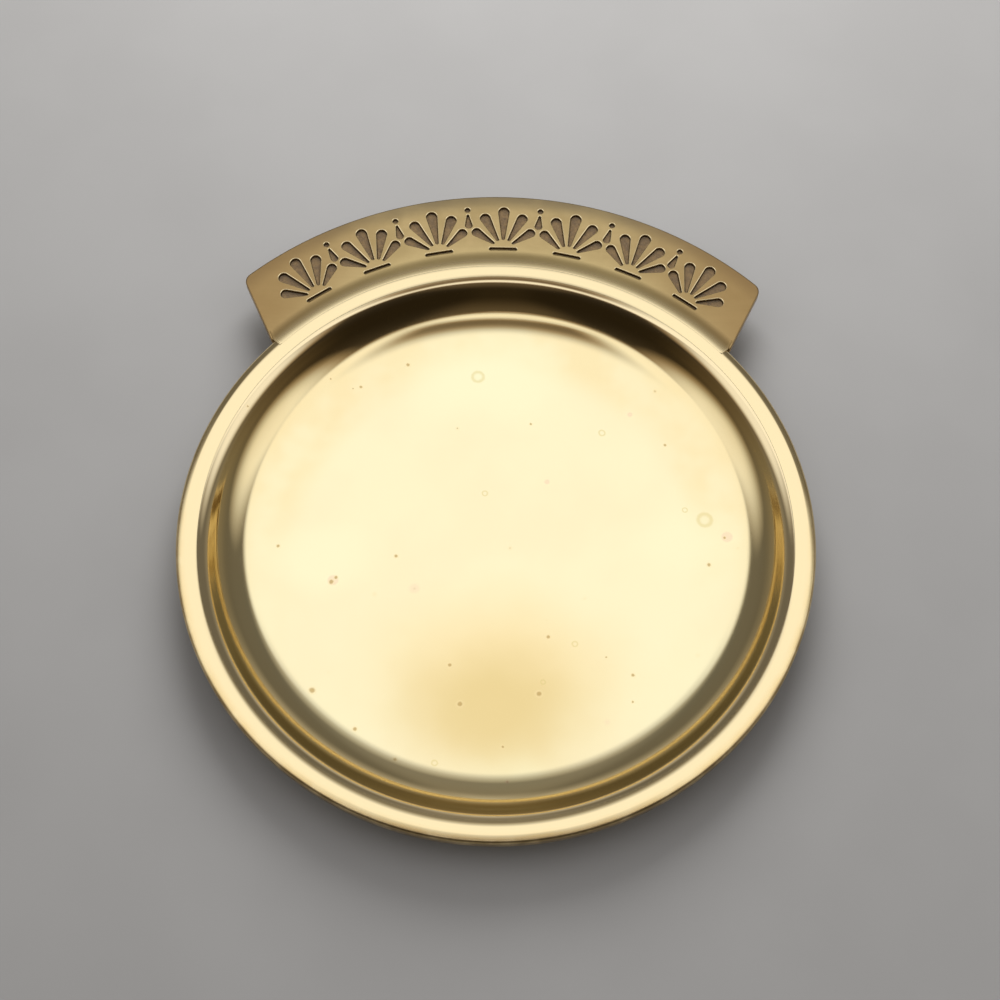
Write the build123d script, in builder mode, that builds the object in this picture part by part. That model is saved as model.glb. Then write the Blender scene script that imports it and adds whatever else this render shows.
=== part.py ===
from build123d import *
from math import asin, atan2, cos, degrees, floor, radians, sin, sqrt, tan
import os

# A round brass coin tray with an arched banner plate on the far side of its rim.
# Origin: centre of the felt pad's underside, on the table. +Z up, +Y towards the banner plate.

# Felt pad that the tray stands on
felt_thickness = 1.5
felt_inset = 2.0

# Crown that the lip and the ring share: a tight round inwards of its crest and a flat one outwards
rim_radius = 65.0
crown_radius = 5.2
crown_outer_radius = 12.4
crown_outer_slope = 6.0
rim_outer_round = 1.2

# Pan that holds the coins, spun from sheet: flat floor, cove, sloping wall, and a lip that rolls over
sheet_thickness = 0.8
well_depth = 8.3
cove_radius = 13.2
wall_slope = 52.0
lip_setback = 2.0
lip_height = 1.1

# Rim ring that the pan's lip seats in
seat_clearance = 0.03
rim_thickness = 2.8
rim_under_round = 0.5

# Solder bead under the rim, in the corner that it makes with the pan
solder_leg = 1.6
solder_film = 0.06

# Banner plate
plate_width = 16.75
plate_arc_radius = 80.7
plate_half_width = 56.65
plate_side_angle = 25.2
plate_drop = 0.5
plate_corner_round = 2.2
plate_edge_round = 0.35
plate_under_round = 0.2

# Brazed joint between the rim and the plate
braze_gap = 0.08
braze_skin = 0.02
braze_prep_width = 1.5
braze_prep_depth = 0.8
braze_reach_angle = 60.0
braze_hollow = 0.1
braze_end_inset = 0.6

# Sunk palmette frieze on the plate, and the dark filling in its floors
recess_depth = 0.7
fill_thickness = 0.15
fill_clearance = 0.03
band_foot = 2.9
band_margin = 3.6
motif_pitch = 15.2
foot_bar_length = 6.2
foot_bar_width = 0.85
petal_start = 2.4
petal_angles = [0.0, 27.0, 54.0]
petal_lengths = [8.6, 7.8, 6.0]
petal_tip_radii = [1.25, 1.2, 1.1]
petal_foot_radius = 0.35
bud_start = 5.6
bud_length = 3.7
bud_foot_radius = 0.85
bud_tip_radius = 0.3
berry_radius = 0.65
berry_gap = 0.5

# Heights above the table
pan_underside = felt_thickness
pan_floor = pan_underside + sheet_thickness
crown_top = pan_floor + well_depth
crown_centre_height = crown_top - crown_radius
rim_underside = crown_top - rim_thickness
plate_top = crown_top - plate_drop
cove_centre_height = pan_floor + cove_radius

# Crown: its crest, its outer round, and the place where the pan's lip ends
outer_slope = radians(crown_outer_slope)
outer_round_radius = rim_radius - rim_outer_round
crest_radius = outer_round_radius + (rim_outer_round - crown_outer_radius) * sin(outer_slope)
crown_outer_centre_height = crown_top - crown_outer_radius
shoulder_height = crown_outer_centre_height + (crown_outer_radius - rim_outer_round) * cos(outer_slope)
lip_radius = crest_radius - lip_setback
lip_angle = asin(lip_setback / crown_radius)
lip_edge_height = crown_centre_height + crown_radius * cos(lip_angle)
seat_height = lip_edge_height - lip_height

# Pan radii: the straight part of the wall takes up what the cove and the crown leave of the depth
slope = radians(wall_slope)
straight_rise = well_depth - (cove_radius + crown_radius) * (1 - cos(slope))
floor_radius = crest_radius - (cove_radius + crown_radius) * sin(slope) - straight_rise / tan(slope)
cove_end_radius = floor_radius + cove_radius * sin(slope)
cove_end_height = cove_centre_height - cove_radius * cos(slope)
outside_end_radius = cove_end_radius + sheet_thickness * sin(slope)
outside_end_height = cove_end_height - sheet_thickness * cos(slope)
neck_radius = outside_end_radius + (seat_height - outside_end_height) / tan(slope)

# Rim ring radii
bore_radius = neck_radius + seat_clearance
crease_radius = lip_radius + seat_clearance
crease_angle = asin((crest_radius - crease_radius) / crown_radius)

# Plan of the banner plate: an outer arc between two slanted sides, shown by its right-hand side
plate_far_y = rim_radius + plate_width
arc_centre_y = plate_far_y - plate_arc_radius
corner_y = arc_centre_y + sqrt(plate_arc_radius**2 - plate_half_width**2)
side_lean = tan(radians(plate_side_angle))
plate_inner_radius = rim_radius + braze_gap


def side_bearing(radius, inset=0.0):
    """Degrees from +Y at which the plate's side, moved in by an inset, crosses a circle about the axis."""
    run_x, run_y = sin(radians(plate_side_angle)), cos(radians(plate_side_angle))
    start_x = plate_half_width - inset / run_y
    along = start_x * run_x + corner_y * run_y
    travel = along - sqrt(along**2 - start_x**2 - corner_y**2 + radius**2)
    return degrees(atan2(start_x - travel * run_x, corner_y - travel * run_y))


def pan_outside(height, skin=0.0):
    """Radius of the pan's outside at a height above the table, with a skin added to it."""
    if height > outside_end_height:
        return outside_end_radius + (height - outside_end_height) / tan(slope) + skin / sin(slope)
    reach = cove_radius + sheet_thickness + skin
    return floor_radius + sqrt(reach**2 - (cove_centre_height - height) ** 2)


# Pan: flat floor, cove, sloping wall, and a lip that rolls over to lie in the rim's seat
with BuildPart() as pan:
    with BuildSketch(Plane.XZ):
        with BuildLine():
            Line((0, pan_floor), (floor_radius, pan_floor))
            inner_cove = CenterArc((floor_radius, cove_centre_height), cove_radius, -90, wall_slope)
            roll_turn = degrees(lip_angle) - wall_slope
            roll = CenterArc((crest_radius, crown_centre_height), crown_radius, 90 + wall_slope, roll_turn)
            Line(inner_cove @ 1, roll @ 0)
            outer_cove = CenterArc(
                (floor_radius, cove_centre_height), cove_radius + sheet_thickness, -90, wall_slope
            )
            Polyline(roll @ 1, (lip_radius, seat_height), (neck_radius, seat_height), outer_cove @ 1)
            Polyline(outer_cove @ 0, (0, pan_underside), (0, pan_floor))
        make_face()
    revolve(axis=Axis.Z)
pan.part.label = "pan"

# Rim ring: the outer share of the crown, with a seat for the pan's lip
with BuildPart() as rim_ring:
    with BuildSketch(Plane.XZ):
        with BuildLine():
            crown_turn = degrees(crease_angle)
            crown = CenterArc((crest_radius, crown_centre_height), crown_radius, 90 + crown_turn, -crown_turn)
            CenterArc((crest_radius, crown_outer_centre_height), crown_outer_radius, 90, -crown_outer_slope)
            shoulder_turn = 90 - crown_outer_slope
            shoulder = CenterArc(
                (outer_round_radius, shoulder_height), rim_outer_round, shoulder_turn, -shoulder_turn
            )
            FilletPolyline(
                shoulder @ 1,
                (rim_radius, rim_underside),
                (bore_radius, rim_underside),
                radius=rim_under_round,
            )
            Polyline(
                (bore_radius, rim_underside),
                (bore_radius, seat_height - seat_clearance),
                (crease_radius, seat_height - seat_clearance),
                crown @ 0,
            )
        make_face()
    revolve(axis=Axis.Z)
rim_ring.part.label = "rim_ring"

# Solder bead: a run in the corner between the rim's underside and the pan
bead_low = rim_underside - solder_leg
with BuildPart() as rim_solder:
    with BuildSketch(Plane.XZ):
        with BuildLine():
            Polyline(
                (pan_outside(rim_underside, solder_film), rim_underside),
                (bore_radius + solder_leg, rim_underside),
                (pan_outside(bead_low, solder_film), bead_low),
                close=True,
            )
        make_face()
    revolve(axis=Axis.Z)
rim_solder.part.label = "rim_solder"

# Frieze: palmettes of fanned petals, each on a foot bar, with a bud and a berry in each gap between two
band_root = rim_radius + band_foot
band_middle = band_root + (petal_start + petal_lengths[0]) / 2
half_span = radians(side_bearing(band_middle)) * band_middle - band_margin
low_petal_tip = petal_start + petal_lengths[-1] - petal_tip_radii[-1]
palmette_reach = low_petal_tip * sin(radians(petal_angles[-1])) + petal_tip_radii[-1]
palmettes_each_side = floor((half_span - palmette_reach) / motif_pitch)
pitch_angle = degrees(motif_pitch / band_middle)
palmette_steps = range(-palmettes_each_side, palmettes_each_side + 1)
palmette_bearings = [90 + pitch_angle * step for step in palmette_steps]
bud_bearings = [bearing + pitch_angle / 2 for bearing in palmette_bearings[:-1]]


def drop(start, length, foot_radius, tip_radius, inset):
    """A drop along +X from a start, round at both ends and drawn in by an inset all round."""
    foot_centre, tip_centre = start + foot_radius, start + length - tip_radius
    lean = degrees(asin((tip_radius - foot_radius) / (tip_centre - foot_centre)))
    with BuildSketch() as outline:
        with BuildLine():
            tip = CenterArc((tip_centre, 0), tip_radius - inset, -90 - lean, 180 + 2 * lean)
            foot = CenterArc((foot_centre, 0), foot_radius - inset, 90 + lean, 180 - 2 * lean)
            Line(tip @ 1, foot @ 0)
            Line(foot @ 1, tip @ 0)
        make_face()
    return outline.sketch


def frieze(inset=0.0):
    """The outlines of the whole frieze on the XY plane, each drawn in by an inset."""
    fan = [
        (side * angle, drop(petal_start, length, petal_foot_radius, tip_radius, inset))
        for angle, length, tip_radius in zip(petal_angles, petal_lengths, petal_tip_radii)
        for side in ((-1, 1) if angle else (1,))
    ]
    bud = drop(bud_start, bud_length, bud_foot_radius, bud_tip_radius, inset)
    berry_place = bud_start + bud_length + berry_gap + berry_radius
    with BuildSketch() as outlines:
        for bearing in palmette_bearings:
            root = Rot(Z=bearing) * Pos(X=band_root)
            with Locations(root):
                SlotOverall(foot_bar_length - 2 * inset, foot_bar_width - 2 * inset, rotation=90)
            for angle, petal in fan:
                with Locations(root * Rot(Z=angle)):
                    add(petal)
        for bearing in bud_bearings:
            root = Rot(Z=bearing) * Pos(X=band_root)
            with Locations(root):
                add(bud)
            with Locations(root * Pos(X=berry_place)):
                Circle(berry_radius - inset)
    return outlines.sketch


# Banner plate: an arch between slanted sides, bevelled for brazing, with the frieze sunk in its top
with BuildPart() as banner_plate:
    with BuildSketch(Plane.XY.offset(rim_underside)) as plate_plan:
        with BuildLine():
            ThreePointArc((-plate_half_width, corner_y), (0, plate_far_y), (plate_half_width, corner_y))
            Polyline(
                (plate_half_width, corner_y),
                (plate_half_width - corner_y * side_lean, 0),
                (corner_y * side_lean - plate_half_width, 0),
                (-plate_half_width, corner_y),
            )
        make_face()
        Circle(plate_inner_radius, mode=Mode.SUBTRACT)
        fillet(plate_plan.vertices().group_by(Axis.Y)[-1], radius=plate_corner_round)
    extrude(amount=plate_top - rim_underside)
    bottom_edges = banner_plate.edges().group_by(Axis.Z)[0].sort_by(lambda edge: (edge @ 0.5).length)
    top_edges = banner_plate.edges().group_by(Axis.Z)[-1].sort_by(lambda edge: (edge @ 0.5).length)
    fillet(top_edges[1:], radius=plate_edge_round)
    fillet(bottom_edges[1:], radius=plate_under_round)
    with BuildSketch(Plane.XZ):
        with BuildLine():
            Polyline(
                (plate_inner_radius, plate_top),
                (plate_inner_radius, plate_top - braze_prep_depth),
                (plate_inner_radius + braze_prep_width, plate_top),
                close=True,
            )
        make_face()
    revolve(axis=Axis.Z, mode=Mode.SUBTRACT)
    with BuildSketch(Plane.XY.offset(plate_top)):
        add(frieze())
    extrude(amount=-recess_depth, mode=Mode.SUBTRACT)
banner_plate.part.label = "banner_plate"

# Braze: a hollow fillet that carries the rim's outer shoulder down on to the plate
braze_outer_radius = plate_inner_radius + braze_prep_width
braze_foot = rim_underside + rim_under_round
braze_half_span = side_bearing(braze_outer_radius, braze_end_inset)
braze_start = radians(90 - braze_half_span)
start_plane = Plane(
    origin=(0, 0, 0),
    x_dir=(cos(braze_start), sin(braze_start), 0),
    z_dir=(sin(braze_start), -cos(braze_start), 0),
)


def shoulder_point(angle):
    """A (radius, height) point just outside the rim's outer shoulder, at an angle above level."""
    reach = rim_outer_round + braze_skin
    across, up = reach * cos(radians(angle)), reach * sin(radians(angle))
    return (outer_round_radius + across, shoulder_height + up)


with BuildPart() as plate_braze:
    with BuildSketch(start_plane):
        with BuildLine():
            Polyline(
                shoulder_point(0),
                (rim_radius + braze_skin, braze_foot),
                (plate_inner_radius, braze_foot),
                (plate_inner_radius, plate_top - braze_prep_depth),
                (braze_outer_radius, plate_top),
            )
            SagittaArc((braze_outer_radius, plate_top), shoulder_point(braze_reach_angle), braze_hollow)
            ThreePointArc(
                shoulder_point(braze_reach_angle), shoulder_point(braze_reach_angle / 2), shoulder_point(0)
            )
        make_face()
    revolve(axis=Axis.Z, revolution_arc=2 * braze_half_span)
plate_braze.part.label = "plate_braze"

# Frieze filling: a thin dark layer on the floor of every recess
with BuildPart() as frieze_filling:
    with BuildSketch(Plane.XY.offset(plate_top - recess_depth)):
        add(frieze(fill_clearance))
    extrude(amount=fill_thickness)
frieze_filling.part.label = "frieze_filling"

# Felt pad: a stamped disc under the pan's flat
with BuildPart() as felt_pad:
    with BuildSketch():
        Circle(floor_radius - felt_inset)
    extrude(amount=felt_thickness)
felt_pad.part.label = "felt_pad"

os.makedirs("parts", exist_ok=True)
for piece in (pan, rim_ring, rim_solder, banner_plate, plate_braze, frieze_filling, felt_pad):
    export_step(piece.part, f"parts/{piece.part.label}.step")
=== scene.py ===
from functools import reduce
from math import asin, atan2, cos, degrees, floor, pi, radians, sin, sqrt, tan

import bpy
from mathutils import Matrix, Vector, noise as waves
from mathutils.geometry import delaunay_2d_cdt


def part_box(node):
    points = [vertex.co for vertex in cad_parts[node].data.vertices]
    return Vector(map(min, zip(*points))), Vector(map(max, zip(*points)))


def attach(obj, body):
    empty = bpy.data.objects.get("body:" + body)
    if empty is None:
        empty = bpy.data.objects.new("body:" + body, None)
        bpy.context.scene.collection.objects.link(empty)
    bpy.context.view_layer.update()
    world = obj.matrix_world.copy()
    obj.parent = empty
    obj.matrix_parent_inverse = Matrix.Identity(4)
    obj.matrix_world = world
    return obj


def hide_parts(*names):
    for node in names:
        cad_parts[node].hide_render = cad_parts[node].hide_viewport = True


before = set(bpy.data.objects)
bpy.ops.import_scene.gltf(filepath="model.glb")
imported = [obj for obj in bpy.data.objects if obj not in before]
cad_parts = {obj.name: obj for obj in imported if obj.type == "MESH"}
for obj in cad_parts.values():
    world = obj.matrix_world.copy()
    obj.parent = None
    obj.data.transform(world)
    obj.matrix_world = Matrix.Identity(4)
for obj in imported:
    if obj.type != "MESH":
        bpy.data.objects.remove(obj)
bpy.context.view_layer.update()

MM = 0.001
MICRON = 0.000001

# Heights and radii read from the frame, in millimetres
pan_low, pan_high = (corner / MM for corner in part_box("pan"))
ring_low, ring_high = (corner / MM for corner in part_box("rim_ring"))
plate_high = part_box("banner_plate")[1] / MM
bead_low, bead_high = (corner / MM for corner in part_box("rim_solder"))
pad_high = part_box("felt_pad")[1] / MM
pan_underside = pan_low.z
lip_radius = pan_high.x
rim_radius = ring_high.x
crown_top = ring_high.z
rim_underside = ring_low.z
plate_half_width = plate_high.x
plate_far_y = plate_high.y
plate_top = plate_high.z
bead_depth = bead_low.z

# Section of the crown and the pan
sheet_thickness = 0.8
crown_radius = 5.2
crown_outer_radius = 12.4
crown_outer_slope = 6.0
rim_outer_round = 1.2
cove_radius = 13.2
wall_slope = 52.0
lip_height = 1.1
lip_edge_round = 0.008
seat_clearance = 0.03
rim_under_round = 0.5

pan_floor = pan_underside + sheet_thickness
crown_centre_height = crown_top - crown_radius
outer_slope = radians(crown_outer_slope)
outer_round_radius = rim_radius - rim_outer_round
crest_radius = outer_round_radius + (rim_outer_round - crown_outer_radius) * sin(outer_slope)
crown_outer_centre_height = crown_top - crown_outer_radius
shoulder_height = crown_outer_centre_height + (crown_outer_radius - rim_outer_round) * cos(outer_slope)
lip_angle = asin((crest_radius - lip_radius) / crown_radius)
seat_height = pan_high.z - lip_height
slope = radians(wall_slope)
straight_rise = crown_top - pan_floor - (cove_radius + crown_radius) * (1 - cos(slope))
floor_radius = crest_radius - (cove_radius + crown_radius) * sin(slope) - straight_rise / tan(slope)
outer_cove = cove_radius + sheet_thickness
outside_end_radius = floor_radius + outer_cove * sin(slope)
outside_end_height = pan_floor + cove_radius - outer_cove * cos(slope)
neck_radius = outside_end_radius + (seat_height - outside_end_height) / tan(slope)
bore_radius = neck_radius + seat_clearance
crease_radius = lip_radius + seat_clearance

# Plan of the banner plate
plate_arc_radius = 80.7
plate_side_angle = 25.2
plate_corner_round = 2.2
plate_edge_round = 0.35
plate_under_round = 0.2
braze_gap = 0.08
braze_prep_width = 1.5
braze_prep_depth = 0.8
arc_centre_y = plate_far_y - plate_arc_radius
corner_y = arc_centre_y + sqrt(plate_arc_radius**2 - plate_half_width**2)
plate_inner_radius = rim_radius + braze_gap

# Palmette frieze
recess_depth = 0.7
recess_lip = 0.22
recess_draft = 0.06
recess_cove = 0.14
recess_cove_middle = (0.35, 0.3)
lip_outside = 0.6
band_foot = 2.9
band_margin = 3.6
motif_pitch = 15.2
foot_bar_length = 6.2
foot_bar_width = 0.85
petal_start = 2.4
petal_angles = [0.0, 27.0, 54.0]
petal_lengths = [8.6, 7.8, 6.0]
petal_tip_radii = [1.25, 1.2, 1.1]
petal_foot_radius = 0.35
bud_start = 5.6
bud_length = 3.7
bud_foot_radius = 0.85
bud_tip_radius = 0.3
berry_radius = 0.65
berry_gap = 0.5
fill_clearance = 0.03
fill_thickness = 0.15

# Fineness of the meshes; the steps of arcs are in degrees
lathe_steps = 480
arc_step = 2.0
fine_step = 1.0
coarse_step = 3.0
edge_step = 5.0
under_step = 15.0
small_step = 22.0
felt_step = 30.0
round_steps = 4
weld_distance = 1e-6


def mesh_piece(name, verts, faces, normals=None):
    """A new mesh object from points in millimetres, with its own point normals where they are given."""
    mesh = bpy.data.meshes.new(name)
    mesh.from_pydata([(x * MM, y * MM, z * MM) for x, y, z in verts], [], faces)
    mesh.shade_smooth()
    if normals:
        mesh.normals_split_custom_set_from_vertices(normals)
    piece = bpy.data.objects.new(name, mesh)
    bpy.context.scene.collection.objects.link(piece)
    return piece


def arc(centre, radius, start, end, step=arc_step):
    """Points of an arc in the (radius, height) plane; angles in degrees from straight up, outwards."""
    count = max(2, round(abs(end - start) / step))
    angles = [radians(start + (end - start) * index / count) for index in range(count + 1)]
    return [(centre[0] + radius * sin(angle), centre[1] + radius * cos(angle)) for angle in angles]


def lathe(name, section, wobble=0.0, wobble_size=1.0):
    """A closed section of (radius, height) points turned about the tray's axis, uneven by a wobble."""
    verts, rings, faces = [], [], []
    for radius, height in section:
        if radius == 0:
            rings.append([len(verts)] * lathe_steps)
            verts.append((0, 0, height))
            continue
        rings.append(range(len(verts), len(verts) + lathe_steps))
        for turn in range(lathe_steps):
            across, along = cos(2 * pi * turn / lathe_steps), sin(2 * pi * turn / lathe_steps)
            place = Vector((across * radius, along * radius, height))
            reach = radius + wobble * waves.noise(place / wobble_size)
            verts.append((reach * across, reach * along, height))
    for low, high in zip(rings, rings[1:] + rings[:1]):
        if low[0] == low[1] and high[0] == high[1]:
            continue
        for turn in range(lathe_steps):
            after = (turn + 1) % lathe_steps
            faces.append(tuple(dict.fromkeys((low[turn], low[after], high[after], high[turn]))))
    return mesh_piece(name, verts, faces)


# Pan: the floor, the cove, the sloping wall, and the lip that rolls over
cove_centre = (floor_radius, pan_floor + cove_radius)
crown_centre = (crest_radius, crown_centre_height)
flat_margin = 0.3
inside = arc(cove_centre, cove_radius, 180, 180 - wall_slope)
edge_support = 0.3
roll_end = -degrees(lip_angle) - degrees(lip_edge_round / crown_radius)
roll = arc(crown_centre, crown_radius, -wall_slope, roll_end - edge_support)
roll += arc(crown_centre, crown_radius, roll_end - edge_support, roll_end)[1:]
lip_centre = (lip_radius - lip_edge_round, pan_high.z - lip_edge_round)
lip_edge = arc(lip_centre, lip_edge_round, -degrees(lip_angle), 90, small_step)
outside = arc(cove_centre, outer_cove, 180 - wall_slope, 180, coarse_step)
pan_section = (
    [(0, pan_floor), (floor_radius - flat_margin, pan_floor)]
    + inside
    + roll
    + lip_edge
    + [(lip_radius, seat_height), (neck_radius, seat_height)]
    + outside
    + [(floor_radius - flat_margin, pan_underside), (0, pan_underside)]
)
pan = lathe("pan_spun", pan_section)

# Rim ring
crease_angle = asin((crest_radius - crease_radius) / crown_radius)
crease_height = crown_centre_height + crown_radius * cos(crease_angle)
ring_edge_centre = (crease_radius + lip_edge_round, crease_height - lip_edge_round)
ring_edge = arc(ring_edge_centre, lip_edge_round, -90, -degrees(crease_angle), small_step)
crown_start = degrees(lip_edge_round / crown_radius) - degrees(crease_angle)
crown = arc(crown_centre, crown_radius, crown_start, crown_start + edge_support)
crown += arc(crown_centre, crown_radius, crown_start + edge_support, 0)[1:]
shoulder_angles = [0.0, 2.0, 11.0, 14.0, 90.0]
shoulder_radii = [crown_outer_radius, 3.4, 13.9]
shoulder = [(crest_radius, crown_top)]
for radius, start, end in zip(shoulder_radii, shoulder_angles, shoulder_angles[1:]):
    end_radius, end_height = shoulder[-1]
    centre = (end_radius - radius * sin(radians(start)), end_height - radius * cos(radians(start)))
    shoulder += arc(centre, radius, start, end, fine_step)[1:]
turned_down = radians(shoulder_angles[-2])
end_radius, end_height = shoulder[-1]
last_radius = (rim_radius - end_radius) / (1 - sin(turned_down))
last_centre = (rim_radius - last_radius, end_height - last_radius * cos(turned_down))
shoulder += arc(last_centre, last_radius, shoulder_angles[-2], shoulder_angles[-1], edge_step)[1:]
under_centre = (rim_radius - rim_under_round, rim_underside + rim_under_round)
under_edge = arc(under_centre, rim_under_round, 90, 180, under_step)
ring_seat = seat_height - seat_clearance
ring_section = (
    [(crease_radius, ring_seat)]
    + ring_edge
    + crown
    + shoulder[1:]
    + under_edge
    + [(bore_radius, rim_underside), (bore_radius, ring_seat)]
)
ring = lathe("rim_turned", ring_section)

# Solder bead: a hollow run in the corner under the rim, uneven as soldered
solder_film = 0.06
bead_leg = 1.6
bead_overlap = 0.35
bead_clearance = 0.02
bead_margin = 0.12
bead_foot_margin = 0.05
bead_toe_rise = 0.08
bead_bow_in = 0.12
bead_bow_up = 0.1
bead_wobble = 0.22
bead_wobble_size = 5.0
bead_hollow = [(0.28, 0.32), (0.5, 0.58), (0.75, 0.82)]
bead_reach = bead_high.x
bead_foot = floor_radius + sqrt((outer_cove + solder_film) ** 2 - (cove_centre[1] - bead_depth) ** 2)
bead_edge = bead_reach - bead_margin
bead_top = rim_underside - bead_clearance
bead_drop = rim_underside - bead_depth - bead_foot_margin
bead_section = [(bead_reach - bead_leg - bead_overlap, bead_top), (bead_edge, bead_top)]
for across, down in bead_hollow:
    bead_radius = bead_edge - (bead_edge - bead_foot) * across - bead_bow_in * sin(pi * across)
    bead_section.append((bead_radius, rim_underside - bead_drop * down + bead_bow_up * sin(pi * down)))
bead_section += [(bead_foot + bead_foot_margin, bead_depth + bead_toe_rise)]
solder = lathe("solder_bead", bead_section, bead_wobble, bead_wobble_size)

# Felt pad: a stamped disc whose cut edge is slightly soft
felt_edge_round = 0.35
felt_edge_band = 1.0
felt_wobble = -0.1
felt_wobble_size = 3.0
pad_radius = pad_high.x
pad_edge = pad_radius - felt_edge_round
felt_section = (
    [(0, pad_high.z), (pad_radius - felt_edge_band, pad_high.z)]
    + arc((pad_edge, pad_high.z - felt_edge_round), felt_edge_round, 0, 90, felt_step)
    + arc((pad_edge, felt_edge_round), felt_edge_round, 90, 180, felt_step)
    + [(pad_radius - felt_edge_band, 0), (0, 0)]
)
pad = lathe("felt_disc", felt_section, felt_wobble, felt_wobble_size)

# Banner plate: its outline as a ring of points for any inset, the same count each time
side_run = Vector((-sin(radians(plate_side_angle)), -cos(radians(plate_side_angle))))
side_outward = Vector((cos(radians(plate_side_angle)), -sin(radians(plate_side_angle))))
outline_arc_steps = 150
outline_side_steps = 10
outline_corner_steps = 8
prep_share = 0.4


def corner_centre():
    """Centre of the rounding at the plate's right-hand corner."""
    reach = plate_arc_radius - plate_corner_round
    foot = Vector((plate_half_width, corner_y)) - side_outward * plate_corner_round
    offset = foot - Vector((0, arc_centre_y))
    along = offset.dot(side_run)
    travel = -along - sqrt(along**2 - offset.length_squared + reach**2)
    return foot + side_run * travel


def side_crossing(radius, inset=0.0):
    """Where the plate's right-hand side, drawn in by an inset, crosses a circle about the tray's axis."""
    start = Vector((plate_half_width, corner_y)) - side_outward * inset
    along = start.dot(side_run)
    return start + side_run * (-along - sqrt(along**2 - start.length_squared + radius**2))


def plate_outline(inset, inner_radius):
    """The plate's outline, drawn in by an inset, from the left end of its inner arc all round."""
    centre = corner_centre()
    foot = side_crossing(inner_radius, inset)
    bearing = atan2(foot.x, foot.y)
    tangent = centre + side_outward * (plate_corner_round - inset)
    to_arc = (centre - Vector((0, arc_centre_y))).normalized()
    first = atan2(side_outward.y, side_outward.x)
    last = atan2(to_arc.y, to_arc.x)
    right = []
    for step in range(1, outline_side_steps):
        right.append(foot.lerp(tangent, step / outline_side_steps))
    for step in range(outline_corner_steps):
        angle = first + (last - first) * step / outline_corner_steps
        right.append(centre + Vector((cos(angle), sin(angle))) * (plate_corner_round - inset))
    points = []
    for step in range(outline_arc_steps + 1):
        angle = -bearing + 2 * bearing * step / outline_arc_steps
        points.append(Vector((inner_radius * sin(angle), inner_radius * cos(angle))))
    points += right
    for step in range(outline_arc_steps + 1):
        angle = last + (pi - 2 * last) * step / outline_arc_steps
        spoke = Vector((cos(angle), sin(angle)))
        points.append(Vector((0, arc_centre_y)) + spoke * (plate_arc_radius - inset))
    points += [Vector((-point.x, point.y)) for point in reversed(right)]
    return points


# Marks of the frieze, each a convex outline for any inset, placed by a bearing and a distance
tip_steps = 18
foot_steps = 8
narrowest_foot = 0.02


def drop_points(start, length, foot_radius, tip_radius, inset):
    """Outline of a drop along +X, round at both ends; a foot that an inset uses up moves up the drop."""
    foot_centre, tip_centre = start + foot_radius, start + length - tip_radius
    lean = asin((tip_radius - foot_radius) / (tip_centre - foot_centre)) if tip_centre > foot_centre else 0.0
    foot_left, tip_left = foot_radius - inset, tip_radius - inset
    if foot_left < narrowest_foot:
        foot_centre += (narrowest_foot - foot_left) / sin(lean) if lean > 0 else 0.0
        foot_left = narrowest_foot
    if tip_left < narrowest_foot:
        tip_centre -= (narrowest_foot - tip_left) / sin(-lean) if lean < 0 else 0.0
        tip_left = narrowest_foot
    points = []
    for centre, radius, middle, half, steps in (
        (tip_centre, tip_left, 0.0, pi / 2 + lean, tip_steps),
        (foot_centre, foot_left, pi, pi / 2 - lean, foot_steps),
    ):
        for step in range(steps + 1):
            angle = middle - half + 2 * half * step / steps
            points.append(Vector((centre, 0)) + Vector((cos(angle), sin(angle))) * radius)
    if tip_centre == foot_centre:
        return points[:tip_steps] + points[tip_steps + 1 : -1]
    return points


band_root = rim_radius + band_foot
band_middle = band_root + (petal_start + petal_lengths[0]) / 2
band_end = side_crossing(band_middle)
band_half_span = atan2(band_end.x, band_end.y) * band_middle - band_margin
low_petal_tip = petal_start + petal_lengths[-1] - petal_tip_radii[-1]
palmette_reach = low_petal_tip * sin(radians(petal_angles[-1])) + petal_tip_radii[-1]
palmettes_each_side = floor((band_half_span - palmette_reach) / motif_pitch)
pitch_angle = motif_pitch / band_middle
palmette_turns = [pitch_angle * step for step in range(-palmettes_each_side, palmettes_each_side + 1)]
bud_turns = [turn + pitch_angle / 2 for turn in palmette_turns[:-1]]


def marks(inset):
    """Outlines of all the frieze's marks in plan, each drawn in by an inset."""
    outlines = []

    def put(points, turn, lean=0.0):
        root = Vector((0, band_root))
        placed = []
        for point in points:
            point = Matrix.Rotation(pi / 2 + lean, 2) @ point
            placed.append(Matrix.Rotation(turn, 2) @ (root + point))
        outlines.append(placed)

    half_bar = foot_bar_width / 2
    for turn in palmette_turns:
        bar = drop_points(-foot_bar_length / 2, foot_bar_length, half_bar, half_bar, inset)
        put(bar, turn, pi / 2)
        for angle, length, tip_radius in zip(petal_angles, petal_lengths, petal_tip_radii):
            for side in (-1, 1) if angle else (1,):
                petal = drop_points(petal_start, length, petal_foot_radius, tip_radius, inset)
                put(petal, turn, side * radians(angle))
    berry_start = bud_start + bud_length + berry_gap
    for turn in bud_turns:
        put(drop_points(bud_start, bud_length, bud_foot_radius, bud_tip_radius, inset), turn)
        put(drop_points(berry_start, 2 * berry_radius, berry_radius, berry_radius, inset), turn)
    return outlines


def outward(points, index):
    """Outward direction at one point of an outline that runs anticlockwise."""
    before, after = points[index - 1], points[(index + 1) % len(points)]
    run = (after - before).normalized()
    return Vector((run.y, -run.x))


def signed_area(points):
    """Area inside an outline, negative where it runs clockwise."""
    return sum(a.x * b.y - b.x * a.y for a, b in zip(points, points[1:] + points[:1])) / 2


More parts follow.
